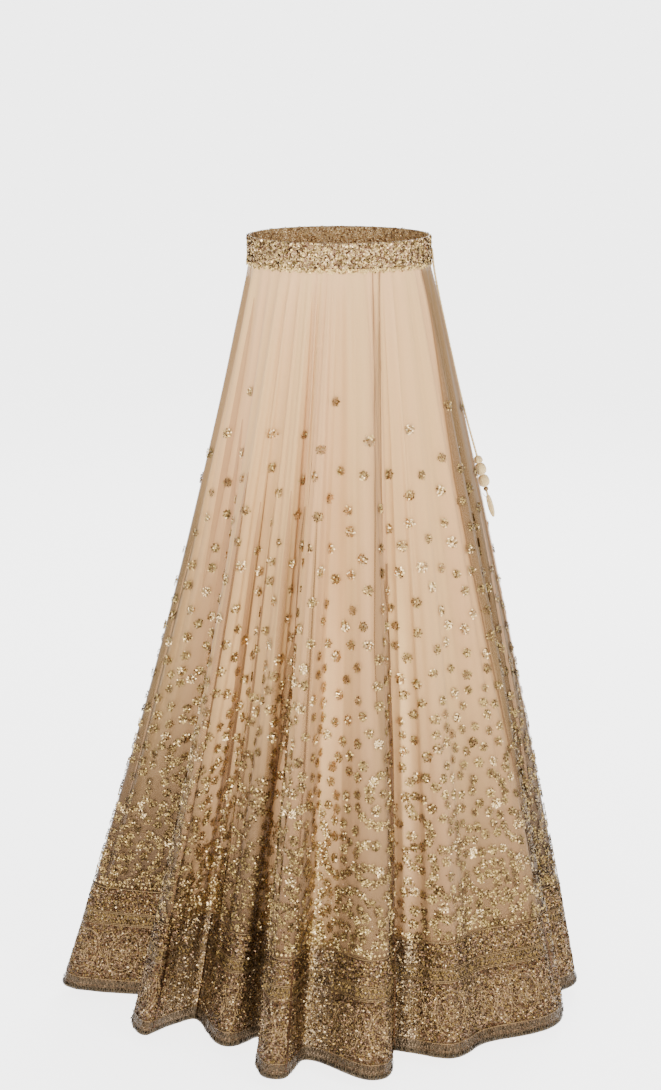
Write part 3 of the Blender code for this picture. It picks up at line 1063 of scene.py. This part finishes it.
def front_edge_shadows():
    """Painted shadow along the edges of the fold down the front's right and of the tuck, and beside the tuck.
    """
    made = []
    for first, then in zip(FOLD_LINES[:10], FOLD_LINES[1:11]):
        stretch = (first.drop, min(then.drop, FOLDS_END))
        if 0.35 < first.drop < 0.80:
            made.append((159.0, 159.3, 0.0078, *stretch))
        made.append((first.right, then.right, 0.0024, *stretch))
        made.append((first.tuck_right, then.tuck_right, 0.0022 + 0.0012 * first.drop, *stretch))
        if first.drop < 0.55:
            made.append((first.tuck_left, then.tuck_left, 0.0013, *stretch))
    return rows("Band", BAND, *made)


edges = more_net("net_fold_edge_shadows", band_strips(EDGE_SHADOWS + front_edge_shadows(), 0.0019, 40), NET_EDGE_SHADOW)

# ---- Flowers of scales on the net --------------------
# How far apart the flowers are, down the skirt.
SPREADS = rows(
    "Spread", "drop apart",
    (0.155, 0.070),
    (0.19, 0.044),
    (0.27, 0.0300),
    (0.40, 0.0250),
    (0.56, 0.0186),
    (0.70, 0.0143),
    (0.80, 0.0123),
    (0.86, 0.0114),
)
CHAINS = 330
CHAIN_STEP = 0.0122
TRIED = 22000
FLOWERS_TOP = 0.155
FLOWERS_END = 0.851


def near(col, drop, right, down):
    """Columns and drops a little way across and down the cloth from others. right and down are in metres."""
    return col + right / np.maximum(pace_at(col, drop), 0.003), drop + down / CLOTH_LENGTH


def far_enough(places, apart):
    """Which places to keep, taken in turn, so that each is far enough from all those kept before it."""
    kept = np.zeros(len(places), bool)
    for number, (place, gap) in enumerate(zip(places, apart)):
        nearest = ((places[:number][kept[:number]] - place) ** 2).sum(axis=1).min(initial=1.0)
        kept[number] = nearest > gap * gap
    return kept


def flower_places():
    """Where the flowers are: thinly spread at the top, and joined in bent chains by the border."""
    found = []
    for _ in range(CHAINS):
        many = int(rng.integers(4, 8))
        down = 0.845 - 0.20 * draw(0, 1) ** 1.6
        radius = draw(0.020, 0.040)
        angle = draw(0, math.tau) + np.arange(many) * CHAIN_STEP / radius
        col, drop = near(np.full(many, draw(0, COLUMNS)), np.full(many, down),
                         np.cos(angle) * radius, np.sin(angle) * radius)
        found.append((np.mod(col, COLUMNS), drop, np.full(many, 0.90 * CHAIN_STEP)))
    col = rng.uniform(0, COLUMNS, TRIED)
    drop = FLOWERS_TOP + 0.695 * rng.uniform(0, 1, TRIED) ** 0.55
    fuller = 1 - 0.16 * eased(drop, 0.40, 0.60) * within(col, 102, 110, 144, 154)
    fuller -= 0.12 * low_left_darkening(col, drop) * eased(drop, 0.70, 0.85)
    fuller -= 0.07 * within(col, 3, 7, 14, 16) * eased(drop, 0.50, 0.62)
    fuller -= 0.22 * within(col, 14, 16, 30, 34) * eased(drop, 0.45, 0.65)
    found.append((col, drop, read(SPREADS, "apart", drop) * fuller))
    col, drop, gap = (np.concatenate(values) for values in zip(*found))
    clear = (drop < FLOWERS_END) & ((drop > 0.68) | (np.abs(from_line(col, tuck(drop)[1])) > 0.7))
    col, drop, gap = col[clear], drop[clear], gap[clear]
    kept = far_enough(base(col, drop), gap)
    return col[kept], drop[kept]


# The kinds of flower: how common each is at the top and by the border, and its shares of each colour.
FLOWER_KINDS = rows(
    "FlowerKind", "high low olive gold pale bronze",
    (0.38, 0.62, 0.54, 0.18, 0.04, 0.24),
    (0.18, 0.27, 0.36, 0.32, 0.13, 0.19),
    (0.44, 0.11, 0.06, 0.30, 0.54, 0.10),
)
PALE_KIND = 2
SCALE_COLOURS = (("olive", OLIVE), ("gold", GOLD), ("pale", PALE), ("bronze", BRONZE))
FLOWER_SCALES = 30
FLOWER_RADIUS = 0.0064
# How far scales stand off the net.
SCALES_AWAY = 0.0022
GOLDEN_ANGLE = 2.39996


def flower_scales(col, drop, size):
    """Each flower's scales, set in a spiral that fills a disc, as scales takes them."""
    count = len(size)
    number = np.arange(FLOWER_SCALES)
    angle = rng.uniform(0, math.tau, (count, 1)) + number * GOLDEN_ANGLE
    far = FLOWER_RADIUS * np.sqrt((number + 0.5) / FLOWER_SCALES) * (1 + 0.07 * np.cos(6 * angle))
    far = far * size[:, None]
    places = near(np.repeat(col, FLOWER_SCALES), np.repeat(drop, FLOWER_SCALES),
                  (np.cos(angle) * far).ravel(), (np.sin(angle) * far).ravel())
    total = count * FLOWER_SCALES
    lean = np.repeat(rng.normal(0, 0.18, (2, count)), FLOWER_SCALES, axis=1)
    tips = lean + rng.normal(0, 0.34, (2, total))
    wide = np.repeat(size, FLOWER_SCALES) * rng.uniform(0.00108, 0.00142, total)
    return net_frame(*places, SCALES_AWAY), wide, 1.12, angle.ravel() + rng.normal(0, 0.3, total), tips


def shares_in(table, column):
    """A column of a table of shares, as one row."""
    return np.array([[getattr(row, column) for row in table]])


def colour_of(shares):
    """A colour's number for each row of shares, drawn by those shares."""
    ends = np.cumsum(shares, axis=1)
    return (rng.uniform(0, 1, (len(shares), 1)) * ends[:, -1:] > ends).sum(axis=1)


def flower_kinds(col, drop, low):
    """Each flower's kind, with few pale ones where painted shade darkens the net."""
    common = shares_in(FLOWER_KINDS, "high") * (1 - low) + shares_in(FLOWER_KINDS, "low") * low
    common[:, PALE_KIND] *= 1 - 0.8 * layer_and_shade_tone(col, drop)
    return colour_of(common)


def flower_shares(col, drop, low, kind):
    """Each flower's shares of olive, gold, pale and bronze, by its kind and by how the light falls there."""
    shares = np.array([[kind.olive, kind.gold, kind.pale, kind.bronze] for kind in FLOWER_KINDS])[kind]
    band = shaded_side_band(np.mod(col, COLUMNS), drop)[:, None]
    hollow = deep(col, drop)[:, None]
    shares = shares + low_left_darkening(col, drop)[:, None] * [[0, 0, 0, 0.8]] + low * [[0, 0, 0, 0.10]]
    shares = (shares + band * [[0.6, 0, 0, 1.0]]) * (1 - band * [[0, 0.5, 0.8, 0]])
    return shares * (1 - hollow * [[0.5, 0, 0, 0.9]]) + hollow * [[0, 0.25, 0.25, 0]]


col, drop = flower_places()
low = eased(drop, 0.35, 0.80)[:, None]
kind = flower_kinds(col, drop, low)
made = flower_scales(col, drop, rng.uniform(0.90, 1.08, len(col)) + 0.10 * (kind == PALE_KIND))
colours = colour_of(np.repeat(flower_shares(col, drop, low, kind), FLOWER_SCALES, axis=0))
for (name, finish), mesh in zip(SCALE_COLOURS, by_colour(colours, len(SCALE_COLOURS), *made)):
    piece("flowers_" + name, mesh, finish, smooth=False)

# ---- Border --------------------
# Every height here is above the hem, in metres.
EDGE_HIGH = 0.019
MOTIF_HIGH = 0.100
STITCH_HIGH = 0.118
MOTIFS = round(HEM_RUN / 0.064)
MOTIF_MIDDLE = (EDGE_HIGH + MOTIF_HIGH) / 2


def drop_at(high):
    return 1 - high / CLOTH_LENGTH


def border_place(col, drop):
    return net(col, drop, 0.0018)


# The border's embroidery is given painted light deep in the folds.
mesh, uv, col, drop = round_tube(np.arange(0, COLUMNS, 0.2), np.linspace(BORDER_DROP, 1, 9), border_place)
border = piece("border_cloth", mesh, STITCHED, BORDER_NODES, uv, values=-deep(col, drop))


def hem_roll():
    """The turned and stuffed edge along the hem: a ring of eight points at each column."""
    cols = np.arange(0, COLUMNS, 0.2)
    here, _, down, normal = net_frame(cols, drop_at(0.0030), 0.0010)
    points = np.stack([here + normal * math.cos(angle) * 0.0026 + down * math.sin(angle) * 0.0030
                       for angle in angles_round(8)])
    return points.reshape(-1, 3), grid_faces(numbered(8, len(cols)), 1, 0)


mesh = hem_roll()
roll = piece("hem_roll", mesh, HEM_STITCHED, (), flat_uv(mesh, 1))


def ridges(lines, wide, high, away):
    """Raised threads along lines on the border. Each line is its columns and heights, all of one length."""
    col = np.stack([line[0] for line in lines])
    rise = np.stack([line[1] for line in lines])
    here, across, down, normal = net_frame(col, drop_at(rise), away)
    run = np.gradient(col, axis=1)[..., None] * across * RUN_COL - np.gradient(rise, axis=1)[..., None] * down
    run /= np.linalg.norm(run, axis=-1, keepdims=True) + 1e-12
    beside = np.cross(normal, run)
    points = np.stack([here - beside * wide / 2, here + normal * high, here + beside * wide / 2], axis=2)
    return points.reshape(-1, 3), strip_faces(col.shape[1], 3, len(lines))


def arc(col, high, wide, tall, start=0.0, end=math.tau, turn=0.0, curl=0.0):
    """Part of an ellipse about a place on the border, turned, and drawn in by curl towards its end."""
    share = np.linspace(0, 1, 13)
    angle = start + (end - start) * share
    in_by = 1 - curl * share
    right = np.cos(angle) * wide * in_by
    up = np.sin(angle) * tall * in_by
    return (col + (right * math.cos(turn) - up * math.sin(turn)) / RUN_COL,
            high + right * math.sin(turn) + up * math.cos(turn))


def motif_lines():
    """A scalloped roundel with a flower in it, and leaves with curled tips between it and the next."""
    lines = []
    middle = MOTIF_MIDDLE
    quarter = math.pi / 2
    for number in range(MOTIFS):
        col = (number + 0.5) * COLUMNS / MOTIFS
        for radius in (0.0245, 0.0205):
            for part in range(4):
                lines.append(arc(col, middle, radius, radius * 1.25, part * quarter, (part + 1) * quarter))
        for petal in range(8):
            turn = petal * math.tau / 8
            away_col = col + math.cos(turn) * 0.0095 / RUN_COL
            lines.append(arc(away_col, middle + math.sin(turn) * 0.0115, 0.0062, 0.0030, turn=turn))
        lines.append(arc(col, middle, 0.0032, 0.0032))
        side = col + COLUMNS / MOTIFS / 2
        for up in (-1, 1):
            for way in (-1, 1):
                back = math.pi if way < 0 else 0
                lines.append(arc(side + way * 0.0035 / RUN_COL, middle + up * 0.020, 0.0095, 0.0150,
                                 -way * up * 1.2 + back, way * up * 2.9 + back, curl=0.55))
        lines.append(arc(side, middle, 0.0050, 0.0085))
        lines.append(arc(side, middle, 0.0024, 0.0045))
    return lines


def long_lines(*heights):
    """Threads that run all the way round at one height, in pieces of one length."""
    lines = []
    for high in heights:
        for part in range(64):
            col = np.linspace(part, part + 1, 13) * COLUMNS / 64
            lines.append((col, np.full(13, high) + 0.0003 * np.sin(col * 1.3)))
    return lines


motifs = piece("border_motifs", ridges(motif_lines(), 0.0016, 0.0007, 0.0021), THREAD)
threads = long_lines(0.0195, 0.1000, 0.1020, 0.1165, 0.1185, 0.1525)
lines = piece("border_lines", ridges(threads, 0.0014, 0.0010, 0.0024), THREAD)


def stitches(low, high, apart, lean, away, wide=0.0009):
    """A row of long slanting stitches that fills the border from one height to another."""
    count = int(HEM_RUN / apart)
    col = (np.arange(count) + rng.uniform(-0.25, 0.25, count)) * COLUMNS / count
    where = net_frame(col, drop_at((low + high) / 2), away)
    turn = math.pi / 2 + lean * np.where(np.arange(count) % 2, 1, -1) + rng.normal(0, 0.12, count)
    tips = (rng.normal(0, 0.4, count), rng.normal(0, 0.10, count))
    return scales(where, wide, (high - low) / 2 / wide * 1.2, turn, tips)


mesh = joined([
    stitches(0.0010, 0.0095, 0.0024, 0.30, 0.0040),
    stitches(0.0090, 0.0185, 0.0024, -0.30, 0.0030),
])
hem_stitches = piece("hem_stitches", mesh, HEM_THREAD, smooth=False)
mesh = joined([
    stitches(0.1030, 0.1095, 0.0026, 0.45, 0.0027),
    stitches(0.1095, 0.1160, 0.0026, -0.45, 0.0027),
])
band_stitches = piece("border_stitches", mesh, DARK_OLIVE, smooth=False)

# The folds' painted shadow lines go on down through the border, as dark strips.
BORDER_FOLD_SHADOWS = rows(
    "Band", "col end_col wide",
    (160.2, 160.2, 0.0042),
    (14.9, 15.6, 0.0034),
    (119.8, 119.9, 0.0036),
    (124.0, 124.2, 0.0036),
    (143.9, 144.0, 0.0030),
    (59.2, 59.4, 0.0034),
    (86.0, 85.8, 0.0034),
)
BORDER_FOLD_SHADOWS = rows("Band", BAND, *((*fold, BORDER_DROP, 0.994) for fold in BORDER_FOLD_SHADOWS))
border_fold_shadows = piece("border_fold_shadow_lines", band_strips(BORDER_FOLD_SHADOWS, 0.0030, 12), DARK_BRONZE)


def motif_share(col, high):
    """1 on the border's scalloped roundels, flowers and leaves, and 0 on the ground between them."""
    wide = HEM_RUN / MOTIFS
    across = np.mod(col * RUN_COL, wide) - wide / 2
    up = high - MOTIF_MIDDLE
    turn = np.arctan2(up, across)
    far = np.hypot(across, up * 0.80) / (1 + 0.06 * np.abs(np.cos(6 * turn)))
    ring = (np.abs(far - 0.0238) < 0.0019) | (np.abs(far - 0.0186) < 0.0009)
    petals = (far < 0.0128 * (0.70 + 0.30 * np.cos(8 * turn))) & (far > 0.0032)
    side = np.abs(across) - wide / 2
    bent = side + 0.0060 * np.sin(np.clip(np.abs(up) / 0.036, 0, 1) * math.pi)
    leaf = np.hypot(bent / 0.0052, (np.abs(up) - 0.0225) / 0.0150)
    leaves = (leaf < 1.0) & ((leaf > 0.66) | (leaf < 0.30))
    stars = np.hypot(side, up) < 0.0060 * (0.65 + 0.35 * np.cos(4 * np.arctan2(up, side)))
    return (ring | petals | leaves | stars).astype(float)


# The share of each colour of scale on the border's ground, on its motifs and on its upper band, and the share
# that it gains deep in the folds.
# The share gained deep in the folds is painted light: paler scales where the hollows are shaded.
BORDER_COLOURS = rows(
    "BorderColour", "name finish ground motif band hollow",
    ("bronze", DARK_BRONZE, 0.52, 0.05, 0.22, 0.00),
    ("olive", DARK_OLIVE, 0.32, 0.20, 0.34, 0.08),
    ("gold", DARK_GOLD, 0.06, 0.27, 0.20, 0.32),
    ("pale", DARK_PALE, 0.02, 0.16, 0.08, 0.44),
    ("rose", ROSE, 0.08, 0.32, 0.16, 0.12),
)


def in_folds(shares, col, rise):
    """Turns the shares browner low on the left of the front, and paler deep in the folds as painted light."""
    hollow = deep(col, drop_at(rise))[:, None]
    shares = shares + 0.35 * low_left_darkening(col, drop_at(rise))[:, None] * [[1, 0, 0, 0, 0]]
    return shares * (1 - 0.95 * hollow) + hollow * shares_in(BORDER_COLOURS, "hollow")


def motif_shares(col, rise):
    on = motif_share(col, rise)[:, None]
    shares = (1 - on) * shares_in(BORDER_COLOURS, "ground") + on * shares_in(BORDER_COLOURS, "motif")
    return in_folds(shares, col, rise)


def band_shares(col, rise):
    return in_folds(shares_in(BORDER_COLOURS, "band"), col, rise)


def border_scales(count, low, high, size, shares):
    """Scales strewn over the border between two heights. shares gives each colour's share at each place."""
    col = rng.uniform(0, COLUMNS, count)
    rise = rng.uniform(low, high, count)
    number = colour_of(shares(col, rise))
    where = net_frame(col, drop_at(rise), 0.0026)
    return by_colour(number, len(BORDER_COLOURS), *strewn(where, size, 0.7, 1.25, 1.15, 0.42))


def loose_scales(count):
    """Scales strewn over the net above the border, closest at its edge and low on the left of the front."""
    col = rng.uniform(0, COLUMNS, count)
    rise = BORDER_HIGH + 0.110 * rng.uniform(0, 1, count) ** 1.8
    kept = rng.uniform(0, 1, count) < 0.12 + 0.88 * low_left_darkening(col, 0.84)
    col, rise = col[kept], rise[kept]
    made = strewn(net_frame(col, drop_at(rise), SCALES_AWAY), 0.00120, 0.8, 1.2, 1.1, 0.38)
    return by_colour(colour_of(band_shares(col, rise)), len(BORDER_COLOURS), *made)


in_motifs = border_scales(56000, EDGE_HIGH, MOTIF_HIGH, 0.00120, motif_shares)
in_band = border_scales(24000, STITCH_HIGH + 0.001, BORDER_HIGH, 0.00130, band_shares)
in_stitches = border_scales(5000, MOTIF_HIGH, STITCH_HIGH + 0.001, 0.00120, band_shares)
above = loose_scales(12000)
for colour, *parts in zip(BORDER_COLOURS, in_motifs, in_stitches, in_band, above):
    name = "border_scales_" + colour.name
    piece(name, joined(parts), colour.finish, smooth=False)


def dots():
    """A row of single scales just above the border."""
    count = int(HEM_RUN / 0.0075)
    where = net_frame(np.arange(count) * COLUMNS / count, drop_at(0.1575), SCALES_AWAY)
    return scales(where, 0.0017, 1.0, rng.uniform(0, 6.28, count), rng.normal(0, 0.3, (2, count)), sides=6)


piece("dots_above_border", dots(), GOLD, smooth=False)

# ---- Waistband --------------------
# The band's cross-section: how far out of the waist's oval and how high each corner is.
BAND_SECTION = rows(
    "Corner", "out high",
    (-0.0015, 0.0165), (-0.0009, 0.0178), (0.0006, 0.0179), (0.0017, 0.0168), (0.0020, 0.0060),
    (0.0022, -0.0060), (0.0018, -0.0168), (0.0004, -0.0180), (-0.0012, -0.0176), (-0.0015, -0.0100),
)
HALF_GAP = BAND_OPENING / 2 / WAIST_HALF_DEPTH
BAND_START = math.radians(OPENING_DEG) + HALF_GAP
BAND_END = math.radians(OPENING_DEG) + math.tau - HALF_GAP
BAND_RADIUS = 0.106
SCALLOPS = 52


def band_place(turn, out, high):
    """A point of the waistband, given round the waist, out from its middle and up."""
    pucker = 0.0007 * np.sin(turn * 46 + 0.7 * np.sin(turn * 7)) * (0.4 + 0.6 * np.abs(high) / 0.018)
    half_wide = WAIST_HALF_WIDTH - BAND_INSET + out + pucker
    half_deep = WAIST_HALF_DEPTH - BAND_INSET + out + pucker
    return np.stack([half_wide * np.sin(turn), -half_deep * np.cos(turn), high + 0 * turn], axis=-1)


def band_shell():
    turn = np.linspace(BAND_START, BAND_END, 385)
    points = np.stack([band_place(turn, corner.out, corner.high) for corner in BAND_SECTION])
    index = numbered(*points.shape[:2])
    caps = []
    for column, flip in ((0, 1), (-1, -1)):
        ring = index[:, column][::flip]
        caps += [[ring[n], ring[-n - 1], ring[-n - 2], ring[n + 1]] for n in range(len(ring) // 2 - 1)]
    return points.reshape(-1, 3), np.concatenate([grid_faces(index, 0), np.array(caps)])


mesh = band_shell()
band_uv = np.stack([np.arctan2(mesh[0][:, 0], mesh[0][:, 1]) * WAIST_RADIUS, mesh[0][:, 2]], axis=-1)
band_uv = band_uv[mesh[1].ravel()]
waistband = piece("waistband_cloth", mesh, BAND_STITCHED, ["waistband"], band_uv)


def band_frame(turn, out, high):
    here = band_place(turn, out, high)
    across = unit(band_place(turn + 0.01, out, high) - here)
    down = np.zeros_like(across)
    down[..., 2] = -1
    return here, across, down, np.cross(down, across)


def band_scales(count):
    turn = rng.uniform(BAND_START + 0.01, BAND_END - 0.01, count)
    high = rng.uniform(-0.0172, 0.0172, count)
    return scales(*strewn(band_frame(turn, 0.0026, high), 0.0015, 0.75, 1.3, 1.1, 0.40))


def scallops():
    """The band's lower trim: a row of small half rounds of scales, over the top of the net."""
    made = []
    for number in range(SCALLOPS):
        turn = BAND_START + 0.03 + (BAND_END - BAND_START - 0.06) * (number + 0.5) / SCALLOPS
        for ring, beads in ((0.0058, 8), (0.0036, 5), (0.0014, 2)):
            angle = np.pi * (np.arange(beads) + 0.5) / beads
            around = turn + np.cos(angle) * ring / BAND_RADIUS
            where = band_frame(around, 0.0034, -0.0160 - np.sin(angle) * ring)
            made.append(scales(where, 0.0013, 1.0, angle, rng.normal(0, 0.3, (2, beads)), sides=6))
    return joined(made)


for name, finish, count in (("gold", GOLD, 1900), ("rose", ROSE, 1400), ("olive", OLIVE, 900),
                            ("pale", PALE, 800), ("bronze", DARK_BRONZE, 1100)):
    piece("band_scales_" + name, band_scales(count), finish, smooth=False)
piece("band_scallops", scallops(), GOLD, smooth=False)

# ---- Camera, light and floor --------------------
FOCAL_PIXELS = 3291.8
PHOTO_WIDE = 661
VIEW_DOWN_DEG = 12.62
lens = bpy.data.cameras.new("view")
lens.sensor_fit = "HORIZONTAL"
lens.sensor_width = 36
lens.lens = FOCAL_PIXELS / PHOTO_WIDE * lens.sensor_width
lens.clip_end = 120
camera = bpy.data.objects.new("view", lens)
camera.location = (-0.0115, -4.4, 0.576)
camera.rotation_euler = (math.radians(90 - VIEW_DOWN_DEG), 0, 0)
bpy.context.scene.collection.objects.link(camera)
bpy.context.scene.camera = camera


def area_light(name, place, target, size, power, colour=(1, 1, 1)):
    lamp = bpy.data.lights.new(name, "AREA")
    lamp.size = size
    lamp.energy = power
    lamp.color = colour
    made = bpy.data.objects.new(name, lamp)
    made.location = place
    made.rotation_euler = (Vector(target) - Vector(place)).to_track_quat("-Z", "Y").to_euler()
    bpy.context.scene.collection.objects.link(made)


area_light("key", (2.3, -3.4, 1.2), (0, 0, -0.5), 1.8, 95, (1.0, 0.97, 0.94))
area_light("front", (-0.9, -4.7, 0.3), (0, 0, -0.6), 1.2, 155)
area_light("back", (0.8, 3.2, 1.6), (0, 0, -0.5), 2.0, 90)

world = bpy.data.worlds.new("studio")
world.use_nodes = True
light = world.node_tree.nodes["Background"]
light.inputs["Color"].default_value = (1, 1, 1, 1)
light.inputs["Strength"].default_value = 0.7
bpy.context.scene.world = world

bpy.ops.mesh.primitive_plane_add(size=90, location=(0, 0, HEM - 0.016))
floor = bpy.context.object
floor.name = "floor"
paper = Nodes("pale_floor")
paper.colour(paper.ramp(paper.noise(paper.body_place(), 3.0, 2.0), (0.4, grey(0.86)), (0.6, grey(0.88))))
paper.put(Roughness=0.85, Emission_Strength=3.6, Emission_Color=(1, 1, 1, 1))
floor.data.materials.append(paper.material)
